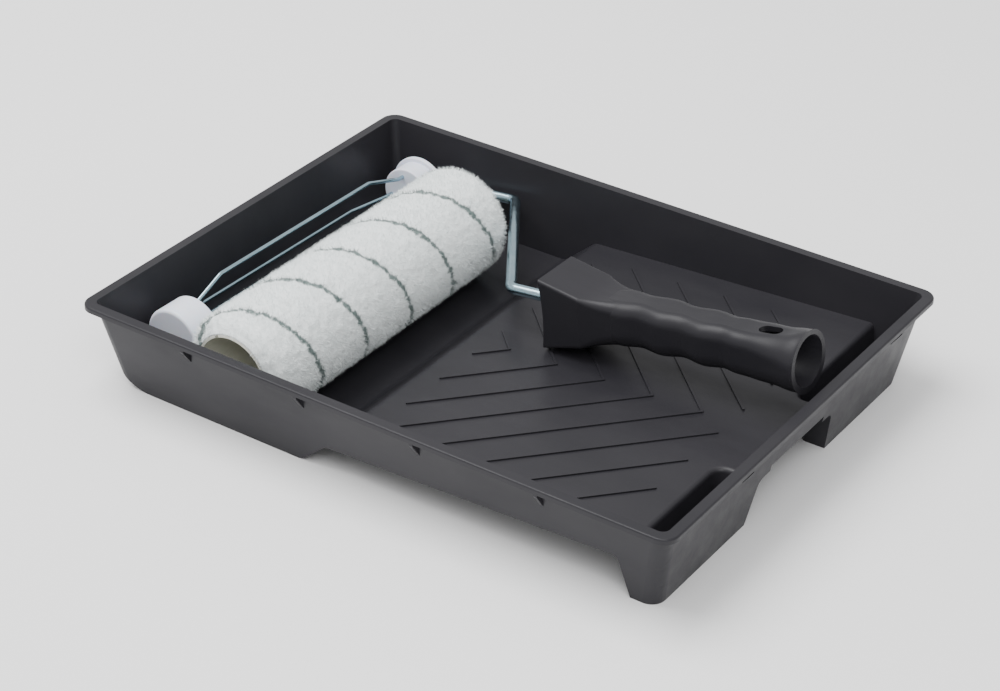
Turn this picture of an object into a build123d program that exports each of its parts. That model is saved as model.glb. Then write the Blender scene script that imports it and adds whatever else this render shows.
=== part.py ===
from build123d import *
import math
import os

os.makedirs("parts", exist_ok=True)

# Paint roller tray set: a moulded tray, a cage roller frame and a loose nap sleeve.
# Sizes are first measured from the tray's outer corner: X from the deep end to the
# shallow end, Y across, Z up. Each piece is then moved so that the origin is on the
# floor at the middle of the tray's outline.

# ---- tray ----
TRAY_L, TRAY_W, TRAY_H = 385.0, 293.0, 54.4
WALL = 2.0
FLANGE = 4.4            # how far the rim stands out from the walls
RIM_T = 2.0             # thickness of the rim
LIP_DROP, LIP_T = 3.2, 1.4
RIM_R = 9.5             # outline corner radius of the rim
CORNER_R = 8.5          # outer corner radius of the walls
LEAN_DEEP, LEAN_SIDE, LEAN_END = 10.6, 10.2, 9.2   # how far each wall leans in, rim to floor
WELL_R = 27.0           # round between the deep end wall and the well floor
STEP_R, CREST_R = 10.0, 4.0     # rounds at the bottom and top of the step
STEP_X0, STEP_X1 = 145.2, 164.4
RAMP_Z0, RAMP_SLOPE = 16.9, 0.051                # underside of the ramp
RAMP_ANGLE = math.degrees(math.atan(RAMP_SLOPE))
RAMP_REF = 165.0
END_R = 6.5             # round between the ramp and the end wall

# hollow feet under the shallow end, open at the top
FOOT_X, FOOT_Y = 350.0, 107.0     # where its leaning sides meet the ramp's underside
FOOT_LEAN = 0.17
FOOT_R, FOOT_ROUND, FOOT_REACH = 9.0, 5.0, 11.0

# chevron ribs on the ramp, pointing at the shallow end
RIB_PITCH, RIB_APEX, RIB_COUNT = 31.6, 191.5, 8
RIB_W, RIB_H = 1.4, 0.9
RIB_X0, RIB_X1, RIB_MARGIN = 176.7, 335.5, 29.0

# small gussets under the rim
SIDE_GUSSETS = (75.0, 153.0, 229.0, 306.0)
END_GUSSETS = (84.5, 249.5)
GUSSET_T, GUSSET_Z = 2.2, 38.5

# ---- roller frame, in its own plane: U along the axle, V along the handle ----
CAGE_X, CAGE_Y, CAGE_Z = 39.0, 156.3, 25.2
FRAME_YAW, FRAME_PITCH = -1.3, 7.2
ROD_R, ROD_BEND = 3.35, 7.0
AXLE_END = -113.5
ARM_U, ARM_V = 118.9, 67.6
SHANK_U, SHANK_V, SHANK_END = 19.8, 135.6, 223.0
AXLE_CLEAR = 0.08       # running clearance on the radius

HUB_R, HUB_SHELL, BOSS_R = 19.0, 2.0, 6.6
NEAR_U0, NEAR_U1, COVER_T = -120.0, -100.0, 2.4
FAR_U0, FAR_U1, FAR_R = 96.2, 111.6, 17.0
FAR_FLANGE_R, FAR_FLANGE_T = 19.6, 3.0
WASHER_R, WASHER_T = 6.5, 1.0

WIRE_R, WIRE_SEAT = 1.2, 6.0
WIRE_BOW, WIRE_END = 20.3, 12.0       # radius of a wire along its middle and at the caps
WIRE_NEAR, WIRE_FAR = 72.0, 65.0       # where its straight middle ends, each side
WIRE_ANGLES = (97.0, 187.0, 277.0, 7.0)

# ---- handle: V position, top, bottom and half width of each section ----
GRIP = (
    (196.0, 11.0, -15.4, 12.6),
    (212.0, 12.6, -15.3, 12.6),
    (232.0, 13.4, -15.2, 12.9),
    (262.0, 12.7, -14.4, 13.0),
    (296.0, 12.6, -15.0, 13.3),
    (316.0, 14.0, -16.0, 15.0),
    (331.0, 17.4, -18.4, 18.0),
)
BLOCK_V0, BLOCK_V1, FRONT_HOLLOW = 168.0, 196.0, 135.0
BLOCK = (               # the same, with the upper and lower corner radii
    (165.0, 20.6, -23.9, 17.4, 1.5, 1.5),
    (194.0, 13.8, -18.4, 17.4, 2.0, 3.0),
    (206.0, 12.2, -16.0, 14.4, 4.5, 7.0),
    (218.0, 12.8, -15.2, 12.8, 6.5, 10.0),
)
WAVE_V0, WAVE_V1, WAVE_PITCH, WAVE_DEPTH = 216.0, 297.0, 27.0, 1.0
BORE_MOUTH_R, BORE_R, BORE_TAPER, BORE_DEPTH = 14.8, 9.8, 31.0, 62.0
HANG_V, HANG_L, HANG_W = 308.5, 14.0, 8.0

# ---- loose sleeve, lying across the well ----
SLEEVE_L, CORE_R, CORE_T = 222.0, 22.0, 1.6
PILE_R, PILE_ROUND = 34.3, 10.0
SLEEVE_X, SLEEVE_Y0 = 97.5, 15.4
REST_GAP = 0.3

TO_CENTRE = Location((-TRAY_L / 2, -TRAY_W / 2, 0))
FRAME_PLACE = (
    TO_CENTRE
    * Location((CAGE_X, CAGE_Y, CAGE_Z))
    * Location((0, 0, 0), (0, 0, FRAME_YAW))
    * Location((0, 0, 0), (0, -FRAME_PITCH, 0))
)


def save(part, label, place=TO_CENTRE):
    """Move a piece to its place in the shared frame and write it."""
    part = part.moved(place)
    part.label = label
    export_step(part, f"parts/{label}.step")
    return part


def rounded_rect(x0, x1, y0, y1, radius):
    with Locations(((x0 + x1) / 2, (y0 + y1) / 2)):
        RectangleRounded(x1 - x0, y1 - y0, radius)


def deep_x(z):
    return FLANGE + LEAN_DEEP * (1 - z / TRAY_H)


def side_y(z):
    return FLANGE + LEAN_SIDE * (1 - z / TRAY_H)


def end_x(z):
    return TRAY_L - FLANGE - LEAN_END * (1 - z / TRAY_H)


def ramp_z(x):
    return RAMP_Z0 + RAMP_SLOPE * (x - RAMP_REF)


def leaning_block(inset):
    """The space between the four leaning walls, moved in by inset."""
    with BuildPart() as block:
        for z in (-1.0, TRAY_H + 3.0):
            with BuildSketch(Plane.XY.offset(z)):
                rounded_rect(deep_x(z) + inset, end_x(z) - inset,
                             side_y(z) + inset, TRAY_W - side_y(z) - inset, CORNER_R - 2 * inset)
        loft(ruled=True)
    return block.part


def floor_profile(inset):
    """Everything above the well, step and ramp, seen from the side."""
    top = TRAY_H + 4.0
    shift = inset * 0.41
    up = inset / math.cos(math.radians(RAMP_ANGLE))
    x_end = end_x(28.0) - inset
    corners = {
        "well": (deep_x(inset) + inset, inset),
        "step_low": (STEP_X0 - shift, inset),
        "crest": (STEP_X1 - shift, ramp_z(STEP_X1 - shift) + up),
        "end": (x_end, ramp_z(x_end) + up),
    }
    rounds = {"well": WELL_R - inset, "step_low": STEP_R - inset, "crest": CREST_R + inset,
              "end": END_R - inset}
    with BuildPart() as above:
        with BuildSketch(Plane.XZ) as outline:
            with BuildLine():
                Polyline((deep_x(top) + inset, top), *corners.values(),
                         (end_x(top) - inset, top), close=True)
            make_face()
            for name, point in corners.items():
                fillet(outline.vertices().sort_by_distance((*point, 0))[0], rounds[name])
        extrude(amount=-TRAY_W)
    return above.part


def foot_face(inset, inner_s):
    """Section of a foot: S runs out of the foot, height is above the ramp's underside."""
    reach = FOOT_REACH - inset
    with BuildSketch() as face:
        with BuildLine():
            Polyline((inner_s, 6.0), (reach, 6.0), (reach, inset), (-inset, inset),
                     (-inset - FOOT_LEAN * 31, inset - 31.0), (inner_s, inset - 31.0), close=True)
        make_face()
        fillet(face.vertices().sort_by_distance((-inset, inset, 0))[0], FOOT_ROUND - inset)
    return face.sketch


def foot_block(inset):
    """A foot with leaning sides that flow into the ramp, and its twin across the tray."""
    with BuildPart() as foot:
        corner = Vector(FOOT_X - RAMP_REF + FOOT_R, FOOT_Y - FOOT_R)
        near_side = Plane(origin=(corner.X, corner.Y, 0), x_dir=(-1, 0, 0), z_dir=(0, 1, 0))
        far_side = Plane(origin=(corner.X, corner.Y, 0), x_dir=(0, 1, 0), z_dir=(1, 0, 0))
        for plane, run in ((near_side, -140.0), (far_side, 60.0)):
            with BuildSketch(plane) as section:
                with Locations((FOOT_R, 0)):
                    add(foot_face(inset, -50.0))
            extrude(amount=run)
        with BuildSketch(near_side):
            with Locations((FOOT_R, 0)):
                add(foot_face(inset, -FOOT_R))
        revolve(axis=Axis((corner.X, corner.Y, 0), (0, 0, 1)), revolution_arc=360)
    placed = foot.part.moved(Location((RAMP_REF, 0, ramp_z(RAMP_REF)), (0, -RAMP_ANGLE, 0)))
    with BuildPart() as feet:
        add(placed)
        mirror(about=Plane.XZ.offset(-TRAY_W / 2))
        add(leaning_block(inset), mode=Mode.INTERSECT)
        with BuildSketch(Plane.XY.offset(inset)):
            Rectangle(3 * TRAY_L, 3 * TRAY_W)
        extrude(amount=-60, mode=Mode.SUBTRACT)
    return feet.part


def tray_body(inset):
    """Solid tray outline (inset 0) or the space inside it (inset WALL)."""
    with BuildPart() as body:
        add(leaning_block(inset))
        add(floor_profile(inset), mode=Mode.INTERSECT)
        add(foot_block(inset))
    return body.part


def rib_lines():
    """Chevrons in plan: each half runs back from the centre line at 45 degrees."""
    with BuildSketch() as lines:
        for k in range(RIB_COUNT):
            apex = RIB_APEX + k * RIB_PITCH
            start = max(0.0, apex - RIB_X1)
            stop = min(apex - RIB_X0, TRAY_W / 2 - RIB_MARGIN)
            mid = (start + stop) / 2
            for side in (-1, 1):
                with Locations(Location((apex - mid, TRAY_W / 2 + side * mid, 0), (0, 0, -45 * side))):
                    SlotOverall((stop - start) * math.sqrt(2) + RIB_W, RIB_W)
    return lines.sketch


def gusset(wall_at):
    """Plate under the rim: first coordinate runs in from the rim's edge."""
    with BuildSketch() as plate:
        with BuildLine():
            Polyline((0.5, TRAY_H - 1.0), (0.5, TRAY_H - LIP_DROP - 1.6), (wall_at + 1.0, GUSSET_Z),
                     (wall_at + 1.0, TRAY_H - 1.0), close=True)
        make_face()
    return plate.sketch


# ---------------------------------------------------------------- tray moulding
with BuildPart() as tray_moulding:
    add(tray_body(0))
    with BuildSketch(Plane.XY.offset(TRAY_H)):
        Rectangle(3 * TRAY_L, 3 * TRAY_W)
    extrude(amount=10, mode=Mode.SUBTRACT)
    # flat rim and its turned-down lip
    with BuildSketch(Plane.XY.offset(TRAY_H - RIM_T)):
        rounded_rect(0, TRAY_L, 0, TRAY_W, RIM_R)
    extrude(amount=RIM_T)
    with BuildSketch(Plane.XY.offset(TRAY_H - LIP_DROP)):
        rounded_rect(0, TRAY_L, 0, TRAY_W, RIM_R)
        with Locations((TRAY_L / 2, TRAY_W / 2)):
            RectangleRounded(TRAY_L - 2 * LIP_T, TRAY_W - 2 * LIP_T, RIM_R - LIP_T, mode=Mode.SUBTRACT)
    extrude(amount=LIP_DROP)
    # gussets stand between the lip and each wall
    for x in SIDE_GUSSETS:
        for y, turn in ((0, 1), (TRAY_W, -1)):
            with BuildSketch(Plane(origin=(x, y, 0), x_dir=(0, turn, 0), z_dir=(turn, 0, 0))):
                add(gusset(side_y(GUSSET_Z)))
            extrude(amount=GUSSET_T / 2, both=True)
    for y in END_GUSSETS:
        for x, turn, wall in ((0, 1, deep_x(GUSSET_Z)), (TRAY_L, -1, TRAY_L - end_x(GUSSET_Z))):
            with BuildSketch(Plane(origin=(x, y, 0), x_dir=(turn, 0, 0), z_dir=(0, -turn, 0))):
                add(gusset(wall))
            extrude(amount=GUSSET_T / 2, both=True)
    rim_edges = tray_moulding.edges().filter_by_position(Axis.Z, TRAY_H - 0.01, TRAY_H + 0.01)
    fillet(rim_edges, 1.1)
    add(tray_body(WALL), mode=Mode.SUBTRACT)
    # ribs stand on the ramp
    with BuildPart(mode=Mode.PRIVATE) as ribs:
        with BuildSketch():
            add(rib_lines())
        extrude(amount=60)
        slab = Box(TRAY_L * 2, TRAY_W * 2, RIB_H + 0.6, align=(Align.CENTER, Align.CENTER, Align.MIN),
                   mode=Mode.PRIVATE)
        lifted = Location((RAMP_REF, 0, ramp_z(RAMP_REF)), (0, -RAMP_ANGLE, 0))
        add(slab.moved(lifted * Location((0, 0, WALL - 0.6))), mode=Mode.INTERSECT)
    add(ribs.part)
save(tray_moulding.part, "tray_moulding")

# ---------------------------------------------------------------- roller frame rod
# In the frame's own plane X is V (towards the handle) and Y is U (along the axle).
with BuildPart() as frame_rod:
    with BuildLine():
        FilletPolyline((0, AXLE_END), (0, ARM_U), (ARM_V, ARM_U), (SHANK_V, SHANK_U),
                       (SHANK_END, SHANK_U), radius=ROD_BEND)
    with BuildSketch(Plane(origin=(0, AXLE_END, 0), z_dir=(0, 1, 0))):
        Circle(ROD_R)
    sweep()
save(frame_rod.part, "frame_rod", FRAME_PLACE)


def turned(profile):
    """Spin a (radius, U) outline round the axle."""
    with BuildPart() as body:
        with BuildSketch():
            with BuildLine():
                Polyline(*profile, close=True)
            make_face()
        revolve(axis=Axis.Y)
    return body.part


AXLE_HOLE = ROD_R + AXLE_CLEAR
NUT_U = NEAR_U0 + 9.4
washer_u = FAR_U1 - 1.1
with BuildPart() as axle_washer:
    add(turned([(ROD_R + 0.05, washer_u), (WASHER_R, washer_u),
                (WASHER_R, washer_u + WASHER_T), (ROD_R + 0.05, washer_u + WASHER_T)]))
save(axle_washer.part, "axle_washer", FRAME_PLACE)

with BuildPart() as axle_push_nut:
    add(turned([(ROD_R, NUT_U - 1.6), (ROD_R + 1.0, NUT_U - 1.6), (5.8, NUT_U - 0.9), (5.8, NUT_U - 0.2),
                (4.6, NUT_U - 0.2), (ROD_R, NUT_U - 0.9)]))
save(axle_push_nut.part, "axle_push_nut", FRAME_PLACE)

# ---------------------------------------------------------------- cage wires
with BuildPart() as cage_wire:
    with BuildLine():
        FilletPolyline((WIRE_END, NEAR_U1 - WIRE_SEAT), (WIRE_END, NEAR_U1 + 3.0),
                       (WIRE_BOW, -WIRE_NEAR), (WIRE_BOW, WIRE_FAR),
                       (WIRE_END, FAR_U0 - 4.0), (WIRE_END, FAR_U0 + WIRE_SEAT), radius=8.0)
    with BuildSketch(Plane(origin=(WIRE_END, NEAR_U1 - WIRE_SEAT, 0), z_dir=(0, 1, 0))):
        Circle(WIRE_R)
    sweep()
for number, angle in enumerate(WIRE_ANGLES, start=1):
    turn = Location((0, 0, 0), (0, -angle, 0))
    save(cage_wire.part, f"cage_wire_{number}", FRAME_PLACE * turn)


def wire_sockets(u0, u1):
    """Four blind holes for the wire ends, from u0 to u1."""
    with BuildPart() as pins:
        for angle in WIRE_ANGLES:
            a = math.radians(angle)
            spot = (WIRE_END * math.cos(a), u0, WIRE_END * math.sin(a))
            with BuildSketch(Plane(origin=spot, z_dir=(0, 1, 0))):
                Circle(WIRE_R)
            extrude(amount=u1 - u0)
    return pins.part


# ---------------------------------------------------------------- near cap
hub_u0 = NEAR_U0 + COVER_T
web_u = NEAR_U1 - WIRE_SEAT - 1.0
inside_r = HUB_R - HUB_SHELL
with BuildPart() as cap_near_hub:
    add(turned([(AXLE_HOLE, NEAR_U1), (HUB_R, NEAR_U1), (HUB_R, hub_u0), (inside_r, hub_u0),
                (inside_r, web_u), (BOSS_R, web_u), (BOSS_R, NUT_U), (AXLE_HOLE, NUT_U)]))
    rim = cap_near_hub.edges().filter_by(GeomType.CIRCLE).filter_by(
        lambda e: abs(e.radius - HUB_R) < 0.01 and abs(e.center().Y - NEAR_U1) < 0.01)
    fillet(rim, 0.8)
    add(wire_sockets(NEAR_U1 - WIRE_SEAT, NEAR_U1 + 1), mode=Mode.SUBTRACT)
save(cap_near_hub.part, "cap_near_hub", FRAME_PLACE)

with BuildPart() as cap_near_cover:
    add(turned([(0, NEAR_U0), (HUB_R, NEAR_U0), (HUB_R, hub_u0), (inside_r, hub_u0), (inside_r, hub_u0 + 2.4),
                (inside_r - 1.6, hub_u0 + 2.4), (inside_r - 1.6, hub_u0), (0, hub_u0)]))
    face_edge = cap_near_cover.edges().filter_by(GeomType.CIRCLE).filter_by(
        lambda e: abs(e.radius - HUB_R) < 0.01 and abs(e.center().Y - NEAR_U0) < 0.01)
    fillet(face_edge, 2.1)
save(cap_near_cover.part, "cap_near_cover", FRAME_PLACE)

# ---------------------------------------------------------------- far cap
far_web = FAR_U0 + WIRE_SEAT + 1.0
flange_u = FAR_U1 - FAR_FLANGE_T
far_inside = FAR_R - HUB_SHELL
with BuildPart() as cap_far_hub:
    add(turned([(AXLE_HOLE, FAR_U0), (FAR_R, FAR_U0), (FAR_R, flange_u), (FAR_FLANGE_R, flange_u),
                (FAR_FLANGE_R, FAR_U1), (far_inside, FAR_U1), (far_inside, far_web), (BOSS_R, far_web),
                (BOSS_R, FAR_U1 - 1.2), (AXLE_HOLE, FAR_U1 - 1.2)]))
    lips = cap_far_hub.edges().filter_by(GeomType.CIRCLE).filter_by(
        lambda e: e.radius > FAR_R - 0.1 and (e.radius > FAR_R + 0.1 or abs(e.center().Y - FAR_U0) < 0.01))
    fillet(lips, 0.8)
    add(wire_sockets(FAR_U0 - 1, FAR_U0 + WIRE_SEAT), mode=Mode.SUBTRACT)
save(cap_far_hub.part, "cap_far_hub", FRAME_PLACE)


# ---------------------------------------------------------------- handle
def grip_section(v, top, bottom, half, top_round, low_round):
    """Rounded section across the grip, flatter on top than below."""
    with BuildSketch(Plane(origin=(v, SHANK_U, 0), x_dir=(0, 1, 0), z_dir=(1, 0, 0))) as section:
        with BuildLine():
            Polyline((-half, bottom), (half, bottom), (half, top), (-half, top), close=True)
        make_face()
        fillet(section.vertices().sort_by(Axis.Y)[-2:], top_round)
        fillet(section.vertices().sort_by(Axis.Y)[:2], low_round)
    return section.sketch.faces()[0]


def grip_size(v):
    """Top, bottom and half width at V, read between the stations with the finger waves added."""
    for (v0, *low), (v1, *high) in zip(GRIP, GRIP[1:]):
        if v <= v1:
            t = max(0.0, (v - v0) / (v1 - v0))
            top, bottom, half = (a + (b - a) * t for a, b in zip(low, high))
            break
    wave = WAVE_DEPTH * math.cos(2 * math.pi * (v - WAVE_V0) / WAVE_PITCH) if WAVE_V0 <= v <= WAVE_V1 else 0
    return top, bottom - wave * 0.3, half + wave


with BuildPart() as handle_grip:
    # the grip, lofted from the neck to the open end
    sections = []
    steps = int((GRIP[-1][0] - BLOCK_V1) / (WAVE_PITCH / 4))
    for k in range(steps + 1):
        v = BLOCK_V1 + (GRIP[-1][0] - BLOCK_V1) * k / steps
        top, bottom, half = grip_size(v)
        blend = max(0.0, min(1.0, (v - 300.0) / 31.0))
        size = min(half, (top - bottom) / 2) - 0.2
        sections.append(grip_section(v, top, bottom, half, 7.5 + (size - 7.5) * blend,
                                     10.5 + (size - 10.5) * blend))
    loft(sections=sections)
    # the block the shank enters, its top sloping down to a neck, its front hollowed
    block = [grip_section(*station) for station in BLOCK]
    loft(sections=block[:2], ruled=True)
    loft(sections=block[1:])
    with BuildSketch(Plane.XZ.offset(-SHANK_U)):
        with Locations((BLOCK_V0 + 1.8 - FRONT_HOLLOW, (BLOCK[0][1] + BLOCK[0][2]) / 2)):
            Circle(FRONT_HOLLOW)
    extrude(amount=40, both=True, mode=Mode.SUBTRACT)
    # socket for an extension pole, hole for the shank, hole to hang it by
    with BuildSketch(Plane.XY):
        with BuildLine():
            Polyline((GRIP[-1][0] + 1, SHANK_U), (GRIP[-1][0] + 1, SHANK_U + BORE_MOUTH_R),
                     (GRIP[-1][0] - BORE_TAPER, SHANK_U + BORE_R), (GRIP[-1][0] - BORE_DEPTH, SHANK_U + BORE_R),
                     (GRIP[-1][0] - BORE_DEPTH, SHANK_U), close=True)
        make_face()
    revolve(axis=Axis((0, SHANK_U, 0), (1, 0, 0)), mode=Mode.SUBTRACT)
    with BuildSketch(Plane(origin=(BLOCK_V0 - 5, SHANK_U, 0), z_dir=(1, 0, 0))):
        Circle(ROD_R)
    extrude(amount=SHANK_END - BLOCK_V0 + 5, mode=Mode.SUBTRACT)
    with BuildSketch(Plane.XY.offset(-40)):
        with Locations((HANG_V, SHANK_U)):
            SlotOverall(HANG_L, HANG_W)
    extrude(amount=80, mode=Mode.SUBTRACT)
save(handle_grip.part, "handle_grip", FRAME_PLACE)

# ---------------------------------------------------------------- loose sleeve
sleeve_place = TO_CENTRE * Location((SLEEVE_X, SLEEVE_Y0, WALL + REST_GAP + PILE_R))
core_out = CORE_R + CORE_T
with BuildPart() as sleeve_core:
    add(turned([(CORE_R, 0), (core_out, 0), (core_out, SLEEVE_L), (CORE_R, SLEEVE_L)]))
save(sleeve_core.part, "sleeve_core", sleeve_place)

with BuildPart() as sleeve_pile:
    add(turned([(core_out, 0), (PILE_R, 0), (PILE_R, SLEEVE_L), (core_out, SLEEVE_L)]))
    ends = sleeve_pile.edges().filter_by(GeomType.CIRCLE).filter_by(lambda e: e.radius > core_out + 1)
    fillet(ends, PILE_ROUND)
save(sleeve_pile.part, "sleeve_pile", sleeve_place)
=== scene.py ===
import math
import random

import bpy
from mathutils import Matrix, Vector, noise
from mathutils.bvhtree import BVHTree


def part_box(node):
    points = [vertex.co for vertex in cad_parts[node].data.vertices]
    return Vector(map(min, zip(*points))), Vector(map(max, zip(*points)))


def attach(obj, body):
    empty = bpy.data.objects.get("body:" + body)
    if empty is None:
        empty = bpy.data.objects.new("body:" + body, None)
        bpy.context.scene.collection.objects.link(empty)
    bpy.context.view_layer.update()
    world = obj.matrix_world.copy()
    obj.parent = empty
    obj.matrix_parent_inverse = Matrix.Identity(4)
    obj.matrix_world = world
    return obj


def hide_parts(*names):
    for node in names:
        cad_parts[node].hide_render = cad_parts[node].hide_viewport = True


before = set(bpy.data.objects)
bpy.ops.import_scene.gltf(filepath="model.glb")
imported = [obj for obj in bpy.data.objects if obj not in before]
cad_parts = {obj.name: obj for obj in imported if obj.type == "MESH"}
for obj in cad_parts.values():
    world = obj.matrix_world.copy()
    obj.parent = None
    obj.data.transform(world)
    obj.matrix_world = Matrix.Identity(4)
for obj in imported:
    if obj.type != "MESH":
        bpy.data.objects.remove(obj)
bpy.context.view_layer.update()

MM = 0.001

# ---- camera: place, turn about Z, tilt down, roll, and lens for a 36 mm sensor ----
CAMERA_PLACE = (0.6819, -1.0224, 0.7902)
CAMERA_TURN, CAMERA_TILT, CAMERA_ROLL = -33.994, 31.965, -1.030
CAMERA_LENS = 92.1

# ---- nap of the loose sleeve; each pattern is a pair, its size and its height ----
NAP_CELL = 0.85 * MM           # size of one face of the nap's surface
NAP_ROUND = 10.0 * MM          # round at each end
NAP_INSET = 1.5 * MM           # how far the surface lies inside the fibre tips
NAP_GAP = 0.3 * MM             # kept clear of everything the sleeve lies against
CORE_FADE = 4.0 * MM           # the tufts flatten out over this distance from the core
TUFTS = ((5.2 * MM, 0.65 * MM), (2.1 * MM, 0.40 * MM))

FIBRES = 60000
FIBRE_LENGTH = (1.8 * MM, 3.2 * MM)
FIBRE_WIDTH = 0.20 * MM
FIBRE_ROOT = 0.4 * MM          # how deep in the surface a fibre starts
FIBRE_CLEAR = 0.4 * MM         # how far its tip keeps from the roller frame
LAY_SIZE, LAY = 6.0 * MM, 0.55           # tufts that lean together, and how far
LOOSE, CURL = 0.28, 0.3                  # how far a fibre strays from its tuft, and bends
BEFORE, BEYOND = 0.55, 0.45              # shares of its length before and beyond the bend
TAPER = 0.8                              # its width there, as a share of its width

# the coloured threads run round the nap in a helix
STRIPE_START, STRIPE_SPACING, STRIPE_STARTS = 35.4 * MM, 41.5 * MM, 2
STRIPE_HALF, STRIPE_EDGE = 1.8 * MM, 0.5 * MM
STRIPE_WANDER = ((6.0 * MM, 1.3 * MM), (1.7 * MM, 0.8 * MM))
STRIPE_RAGGED = (3.1 * MM, 1.6 * MM)
RAGGED_SHIFT = Vector((9, 0, 0))

# ---- core ----
CORE_PITCH = 0.072             # advance of the wound strip in one turn
SEAM_SHARE = 0.009             # half the seam's width, as a share of the pitch

# ---- colours: the two ends of each surface's mottling ----
TRAY_TONES = (0.017, 0.0165, 0.020), (0.024, 0.023, 0.027)
HANDLE_TONES = (0.016, 0.0155, 0.019), (0.023, 0.022, 0.026)
ZINC_TONES = (0.33, 0.47, 0.54), (0.42, 0.55, 0.62)
CAP_TONES = (0.74, 0.77, 0.88), (0.82, 0.85, 0.93)
CORE_TONES, SEAM_TONE = ((0.82, 0.83, 0.73), (0.93, 0.92, 0.83)), (0.34, 0.35, 0.29)
YARN_TONES = (0.80, 0.85, 0.85), (0.92, 0.955, 0.955)
THREAD_TONES = (0.06, 0.095, 0.09), (0.19, 0.25, 0.24)
FLOOR_TONES = (0.93, 0.93, 0.935), (0.95, 0.95, 0.95)

# ---- stage and lamps: name, place, what it points at, size and power ----
FLOOR_HALF = 6
LAMPS = (
    ("key", (-0.7, -0.25, 1.9), (0.0, 0.0, 0.0), (1.5, 1.5), 55),
    ("fill", (0.9, -1.1, 1.7), (0.0, 0.0, 0.0), (1.0, 1.0), 18),
)
WORLD_STRENGTH = 0.85

rng = random.Random(7)


# ---------------------------------------------------------------- node helpers
class Shader:
    """A material being built: its nodes are added with add() and joined with join()."""

    def __init__(self, name, **sockets):
        self.material = bpy.data.materials.new(name)
        self.material.use_nodes = True
        self.tree = self.material.node_tree
        self.surface = self.tree.nodes["Principled BSDF"]
        for socket, value in sockets.items():
            self.surface.inputs[socket.replace("_", " ")].default_value = value
        self.place = self.add("ShaderNodeTexCoord").outputs["Object"]

    def add(self, kind, **settings):
        node = self.tree.nodes.new(kind)
        for key, value in settings.items():
            setattr(node, key, value)
        return node

    def join(self, source, target):
        self.tree.links.new(source, target)

    def noise(self, scale, detail=4.0, rough=0.5, stretch=None):
        """Noise with its scale per metre, drawn out along an axis where stretch is given."""
        node = self.add("ShaderNodeTexNoise")
        node.inputs["Scale"].default_value = scale
        node.inputs["Detail"].default_value = detail
        node.inputs["Roughness"].default_value = rough
        place = self.place
        if stretch:
            mapping = self.add("ShaderNodeMapping")
            mapping.inputs["Scale"].default_value = stretch
            self.join(place, mapping.inputs["Vector"])
            place = mapping.outputs["Vector"]
        self.join(place, node.inputs["Vector"])
        return node.outputs["Fac"]

    def math(self, operation, a, b=0.0):
        node = self.add("ShaderNodeMath", operation=operation)
        for socket, value in zip(node.inputs, (a, b)):
            if isinstance(value, (int, float)):
                socket.default_value = value
            else:
                self.join(value, socket)
        return node.outputs[0]

    def ranged(self, source, low, high, in_low=0.3, in_high=0.7):
        """Spreads the middle of a noise's range over low to high."""
        node = self.add("ShaderNodeMapRange")
        ends = {"From Min": in_low, "From Max": in_high, "To Min": low, "To Max": high}
        for name, value in ends.items():
            node.inputs[name].default_value = value
        self.join(source, node.inputs["Value"])
        return node.outputs["Result"]

    def blend(self, share, first, second):
        """Mixes two colours, each a tuple or a socket."""
        node = self.add("ShaderNodeMix", data_type="RGBA")
        self.join(share, node.inputs["Factor"])
        for socket, value in ((node.inputs["A"], first), (node.inputs["B"], second)):
            colour = [s for s in node.inputs if s.name == socket.name and s.type == "RGBA"][0]
            if isinstance(value, tuple):
                colour.default_value = (*value, 1.0)
            else:
                self.join(value, colour)
        return [s for s in node.outputs if s.type == "RGBA"][0]

    def bump(self, height, distance, strength=1.0, before=None):
        node = self.add("ShaderNodeBump")
        node.inputs["Strength"].default_value = strength
        node.inputs["Distance"].default_value = distance
        self.join(height, node.inputs["Height"])
        if before:
            self.join(before, node.inputs["Normal"])
        return node.outputs["Normal"]

    def colour(self, source):
        self.join(source, self.surface.inputs["Base Color"])

    def roughness(self, source):
        self.join(source, self.surface.inputs["Roughness"])

    def normal(self, source):
        self.join(source, self.surface.inputs["Normal"])


# ---------------------------------------------------------------- materials
def black_plastic(name, tones, rough_low, rough_high, grain):
    """Moulded plastic: slow flow marks, a fine eroded texture and faint rub marks."""
    s = Shader(name, IOR=1.45, Specular_IOR_Level=0.30)
    flow = s.noise(9.0, 3.0, 0.5, stretch=(1.0, 2.6, 1.6))
    s.colour(s.blend(s.ranged(flow, 0.0, 1.0), *tones))
    rubs = s.noise(60.0, 5.0, 0.65, stretch=(0.35, 1.0, 1.0))
    s.roughness(s.ranged(rubs, rough_low, rough_high, 0.35, 0.68))
    fine = s.bump(s.noise(grain, 2.0, 0.6), 0.00006, 0.5)
    s.normal(s.bump(s.noise(14.0, 2.0, 0.4), 0.0011, 0.35, before=fine))
    return s.material


def zinc(name):
    """Zinc plated wire: bluish and slightly cloudy."""
    s = Shader(name, Metallic=1.0, IOR=1.5)
    cloud = s.noise(70.0, 3.0, 0.5)
    s.colour(s.blend(s.ranged(cloud, 0.0, 1.0), *ZINC_TONES))
    s.roughness(s.ranged(s.noise(240.0, 3.0, 0.5), 0.17, 0.26))
    s.normal(s.bump(s.noise(900.0, 2.0, 0.5), 0.00002, 0.25))
    return s.material


def white_plastic(name):
    """Slightly lilac white polypropylene with a dull moulded skin."""
    s = Shader(name, IOR=1.49, Subsurface_Weight=0.12, Subsurface_Scale=0.004)
    cloud = s.noise(45.0, 3.0, 0.5)
    s.colour(s.blend(s.ranged(cloud, 0.0, 1.0), *CAP_TONES))
    s.roughness(s.ranged(s.noise(160.0, 4.0, 0.6), 0.34, 0.48))
    s.normal(s.bump(s.noise(1100.0, 2.0, 0.5), 0.00005, 0.4))
    return s.material


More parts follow.
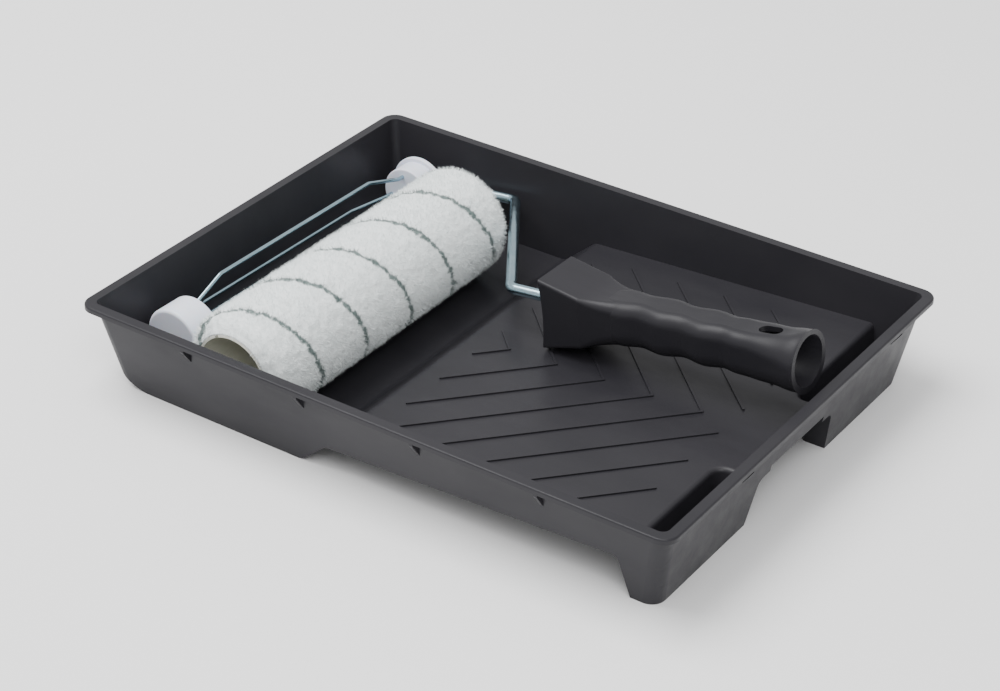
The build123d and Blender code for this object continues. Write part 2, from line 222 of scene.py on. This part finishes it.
def core_tube(name, axis):
    """Wound core: a fibrous tube with the seam of its strip running round it in a helix."""
    s = Shader(name, IOR=1.45)
    split = s.add("ShaderNodeSeparateXYZ")
    s.join(s.place, split.inputs[0])
    across = s.math("SUBTRACT", split.outputs["X"], axis.x)
    up = s.math("SUBTRACT", split.outputs["Z"], axis.z)
    turn = s.math("DIVIDE", s.math("ARCTAN2", up, across), 2 * math.pi)
    along = s.math("DIVIDE", split.outputs["Y"], CORE_PITCH)
    wound = s.math("FRACT", s.math("ADD", along, turn))
    off_seam = s.math("ABSOLUTE", s.math("SUBTRACT", wound, 0.5))
    seam = s.math("LESS_THAN", off_seam, SEAM_SHARE)
    fibres = s.noise(260.0, 5.0, 0.65, stretch=(1.0, 0.18, 1.0))
    paper = s.blend(s.ranged(fibres, 0.0, 1.0), *CORE_TONES)
    s.colour(s.blend(seam, paper, SEAM_TONE))
    s.roughness(s.ranged(s.noise(90.0, 3.0, 0.6), 0.55, 0.75))
    rough = s.bump(fibres, 0.0001, 0.5)
    s.normal(s.bump(s.math("SUBTRACT", 1.0, seam), 0.0003, 0.6, before=rough))
    return s.material


def nap_yarn(name):
    """Woven nap: white yarn with a helix of dark green-grey threads, both mottled."""
    s = Shader(name, IOR=1.4, Sheen_Weight=0.35, Sheen_Roughness=0.6, Specular_IOR_Level=0.2)
    stripe = s.add("ShaderNodeAttribute", attribute_name="stripe")
    tone = s.noise(420.0, 4.0, 0.65)
    white = s.blend(s.ranged(tone, 0.0, 1.0), *YARN_TONES)
    thread = s.blend(s.ranged(tone, 0.0, 1.0), *THREAD_TONES)
    s.colour(s.blend(stripe.outputs["Fac"], white, thread))
    s.roughness(s.ranged(s.noise(300.0, 3.0, 0.6), 0.85, 1.0))
    s.normal(s.bump(s.noise(1100.0, 3.0, 0.6), 0.0005, 0.45))
    return s.material


# ---------------------------------------------------------------- nap of the sleeve
class Sleeve:
    """The nap's own coordinates: distance along its profile, and angle about its axis."""

    def __init__(self):
        low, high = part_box("sleeve_pile")
        core_low, core_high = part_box("sleeve_core")
        self.axis = Vector(((low.x + high.x) / 2, low.y, (low.z + high.z) / 2))
        self.length = high.y - low.y
        self.radius = (high.x - low.x) / 2
        self.bore = (core_high.x - core_low.x) / 2 + 0.1 * MM
        self.floor = low.z - NAP_GAP
        self.face = self.radius - NAP_ROUND - self.bore
        self.arc = NAP_ROUND * math.pi / 2
        self.span = 2 * (self.face + self.arc) + self.length - 2 * NAP_ROUND

    def profile(self, s):
        """(radius, distance along the axis, normal's radial part, normal's axial part) at s."""
        mirrored = s > self.span / 2
        if mirrored:
            s = self.span - s
        if s < self.face:
            at = (self.bore + s, 0.0, 0.0, -1.0)
        elif s < self.face + self.arc:
            turn = (s - self.face) / NAP_ROUND
            at = (self.radius - NAP_ROUND + NAP_ROUND * math.sin(turn),
                  NAP_ROUND * (1 - math.cos(turn)), math.sin(turn), -math.cos(turn))
        else:
            at = (self.radius, NAP_ROUND + s - self.face - self.arc, 1.0, 0.0)
        r, y, out, back = at
        return (r, self.length - y, out, -back) if mirrored else at

    def point(self, s, angle, lift=0.0):
        """(place, outward normal) on the tufted surface, lifted off it by lift."""
        r, y, out, back = self.profile(s)
        outward = Vector((math.cos(angle), 0, math.sin(angle)))
        normal = outward * out + Vector((0, back, 0))
        place = self.axis + outward * r + Vector((0, y, 0))
        height = sum(size * noise.noise(place / scale) for scale, size in TUFTS)
        fade = min(1.0, (r - self.bore) / CORE_FADE)
        return place + normal * (fade * (height - NAP_INSET) + lift), normal

    def rest(self, place):
        """Pressed flat where the sleeve's weight rests on the tray."""
        place.z = max(place.z, self.floor + 0.1 * MM)
        return place

    def stripe(self, place):
        """1 on a coloured thread, 0 elsewhere, with the breaks that the nap leaves in it."""
        rel = place - self.axis
        turn = math.atan2(rel.z, rel.x) / (2 * math.pi)
        along = rel.y - STRIPE_START + STRIPE_SPACING * STRIPE_STARTS * turn
        off = (along / STRIPE_SPACING + 0.5) % 1.0 - 0.5
        wander = sum(size * noise.noise(place / scale) for scale, size in STRIPE_WANDER)
        scale, size = STRIPE_RAGGED
        width = STRIPE_HALF + size * noise.noise(place / scale + RAGGED_SHIFT)
        edge = (width - abs(off * STRIPE_SPACING + wander)) / STRIPE_EDGE
        return max(0.0, min(1.0, edge))


def mesh_piece(name, points, faces, smooth=True, stripes=None):
    mesh = bpy.data.meshes.new(name)
    mesh.from_pydata(points, [], faces)
    mesh.update()
    if smooth:
        mesh.shade_smooth()
    if stripes:
        layer = mesh.attributes.new("stripe", "FLOAT", "POINT")
        layer.data.foreach_set("value", stripes)
    piece = bpy.data.objects.new(name, mesh)
    bpy.context.scene.collection.objects.link(piece)
    return piece


def nearby_solids():
    """What the sleeve's fibres have to stay out of."""
    trees = []
    for node in ("frame_rod", "cap_near_hub", "cap_near_cover", "cap_far_hub", "handle_grip"):
        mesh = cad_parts[node].data
        points = [v.co for v in mesh.vertices]
        trees.append(BVHTree.FromPolygons(points, [p.vertices for p in mesh.polygons]))
    return trees


def clear_of(trees, place, gap):
    return all(tree.find_nearest(place, gap)[0] is None for tree in trees)


def nap_surface(sleeve):
    rows = int(sleeve.span / NAP_CELL)
    columns = int(2 * math.pi * sleeve.radius / NAP_CELL)
    points, faces = [], []
    for i in range(rows + 1):
        for j in range(columns):
            place, _ = sleeve.point(sleeve.span * i / rows, 2 * math.pi * j / columns)
            points.append(sleeve.rest(place))
    # the last strip of faces closes the nap along the core
    for i in range(rows + 1):
        after = (i + 1) % (rows + 1)
        for j in range(columns):
            k = (j + 1) % columns
            faces.append((i * columns + j, i * columns + k, after * columns + k, after * columns + j))
    return mesh_piece("nap_surface", points, faces, stripes=[sleeve.stripe(p) for p in points])


def stray(amount):
    return Vector((rng.gauss(0, amount), rng.gauss(0, amount), rng.gauss(0, amount)))


def nap_fibres(sleeve):
    """Short tapered fibres that lean together in tufts, two faces to each."""
    trees = nearby_solids()
    points, faces, stripes = [], [], []
    while len(faces) < 2 * FIBRES:
        s, angle = rng.uniform(0, sleeve.span), rng.uniform(0, 2 * math.pi)
        if rng.random() > sleeve.profile(s)[0] / sleeve.radius:
            continue
        root, normal = sleeve.point(s, angle, lift=-FIBRE_ROOT)
        lay = noise.noise_vector(root / LAY_SIZE) * LAY
        along = (normal + lay + stray(LOOSE)).normalized()
        length = rng.uniform(*FIBRE_LENGTH)
        bend = (lay + stray(CURL)) * 0.5
        middle = root + along * length * BEFORE
        tip = middle + (along + bend).normalized() * length * BEYOND
        side = along.cross(stray(1)).normalized()
        half = side * FIBRE_WIDTH / 2
        if not clear_of(trees, tip, FIBRE_CLEAR):
            continue
        start = len(points)
        points += [sleeve.rest(p) for p in (root - half, root + half, middle + half * TAPER,
                                            middle - half * TAPER, tip)]
        faces += [(start, start + 1, start + 2, start + 3), (start + 3, start + 2, start + 4)]
        stripes += [sleeve.stripe(root)] * 5
    return mesh_piece("nap_fibres", points, faces, stripes=stripes)


# ---------------------------------------------------------------- stage, light and camera
def make_stage():
    corners = [(x * FLOOR_HALF, y * FLOOR_HALF, 0) for x, y in ((-1, -1), (1, -1), (1, 1), (-1, 1))]
    floor = mesh_piece("studio_floor", corners, [(0, 1, 2, 3)], smooth=False)
    s = Shader("studio_floor", Specular_IOR_Level=0.1)
    s.colour(s.blend(s.ranged(s.noise(3.0, 2.0), 0.0, 1.0), *FLOOR_TONES))
    s.roughness(s.ranged(s.noise(20.0, 2.0), 0.85, 0.95))
    floor.data.materials.append(s.material)


def make_light(name, place, aim, size, power):
    data = bpy.data.lights.new(name, "AREA")
    data.shape = "RECTANGLE"
    data.size, data.size_y = size
    data.energy = power
    light = bpy.data.objects.new(name, data)
    light.location = place
    light.rotation_mode = "QUATERNION"
    light.rotation_quaternion = (Vector(aim) - Vector(place)).to_track_quat("-Z", "Y")
    bpy.context.scene.collection.objects.link(light)


def make_world():
    world = bpy.data.worlds.new("studio")
    world.use_nodes = True
    background = world.node_tree.nodes["Background"]
    background.inputs["Color"].default_value = (1.0, 1.0, 1.0, 1.0)
    background.inputs["Strength"].default_value = WORLD_STRENGTH
    bpy.context.scene.world = world


def make_camera():
    turn, tilt, roll = (math.radians(a) for a in (CAMERA_TURN, CAMERA_TILT, CAMERA_ROLL))
    forward = Vector((math.sin(turn) * math.cos(tilt), math.cos(turn) * math.cos(tilt), -math.sin(tilt)))
    level = Vector((math.cos(turn), -math.sin(turn), 0))
    down = forward.cross(level)
    right = level * math.cos(roll) + down * math.sin(roll)
    up = level * math.sin(roll) - down * math.cos(roll)
    data = bpy.data.cameras.new("camera")
    data.lens, data.sensor_width = CAMERA_LENS, 36.0
    data.clip_start, data.clip_end = 0.01, 50.0
    camera = bpy.data.objects.new("camera", data)
    axes = Matrix((right, up, -forward)).transposed().to_4x4()
    camera.matrix_world = Matrix.Translation(CAMERA_PLACE) @ axes
    bpy.context.scene.collection.objects.link(camera)
    bpy.context.scene.camera = camera


# ---------------------------------------------------------------- the object
def dress(nodes, material):
    for name in nodes:
        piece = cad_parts[name]
        piece.data.materials.clear()
        piece.data.materials.append(material)


make_camera()
make_stage()
make_world()
for lamp in LAMPS:
    make_light(*lamp)

sleeve = Sleeve()
tray_plastic = black_plastic("black_plastic", TRAY_TONES, 0.34, 0.47, 1500.0)
dress(["tray_moulding"], tray_plastic)
grip_plastic = black_plastic("handle_plastic", HANDLE_TONES, 0.36, 0.50, 1900.0)
dress(["handle_grip"], grip_plastic)
dress(["frame_rod", "axle_washer", "axle_push_nut"], zinc("zinc_rod"))
dress([f"cage_wire_{n}" for n in range(1, 5)], zinc("zinc_wire"))
caps = ["cap_near_hub", "cap_near_cover", "cap_far_hub"]
dress(caps, white_plastic("white_plastic"))
dress(["sleeve_core"], core_tube("core_tube", sleeve.axis))

yarn = nap_yarn("nap_yarn")
surface = nap_surface(sleeve)
fibres = nap_fibres(sleeve)
for piece in (surface, fibres):
    piece.data.materials.append(yarn)
    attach(piece, "sleeve")
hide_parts("sleeve_pile")

bpy.context.view_layer.update()
